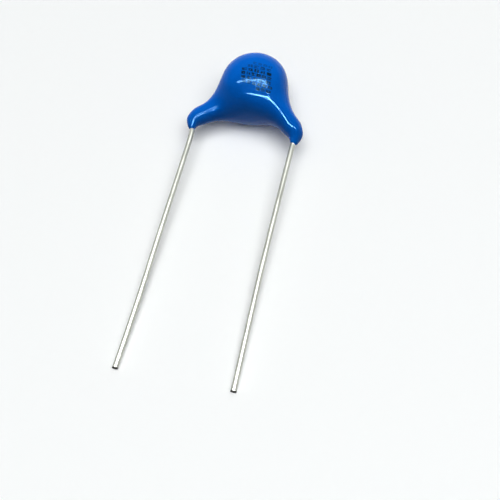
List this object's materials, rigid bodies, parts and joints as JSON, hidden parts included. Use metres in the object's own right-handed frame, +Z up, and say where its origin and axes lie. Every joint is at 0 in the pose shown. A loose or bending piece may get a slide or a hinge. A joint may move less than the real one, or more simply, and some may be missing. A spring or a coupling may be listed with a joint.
{
  "type": "ceramic disc capacitor",
  "caption": "Radial-lead ceramic disc capacitor: soldered disc in a glossy dipped epoxy coat that runs down over both straight wire leads.",
  "frame": {"origin": "on the surface that the part lies on, under the middle of its bounding box", "axes": "+Z up; +X across the pitch of the leads, from the back lead to the front lead; +Y from the lead ends towards the dome. The part lies on the crown of its domed back face and on both lead ends, so the leads slope down by 5.1 degrees towards -Y"},
  "size_m": [0.0114, 0.033, 0.0058],
  "materials": {
    "epoxy": "glossy dipped epoxy, mid blue",
    "ceramic": "fired, matt",
    "silver": "fired silver print, satin",
    "solder": "solder, bright",
    "tinned_wire": "tinned, bright with a slight yellow cast"
  },
  "bodies": {
    "root": {"epoxy_coat": "epoxy", "ceramic_disc": "ceramic", "front_electrode": "silver", "back_electrode": "silver", "front_solder": "solder", "back_solder": "solder", "front_lead": "tinned_wire", "back_lead": "tinned_wire"}
  },
  "joints": []
}
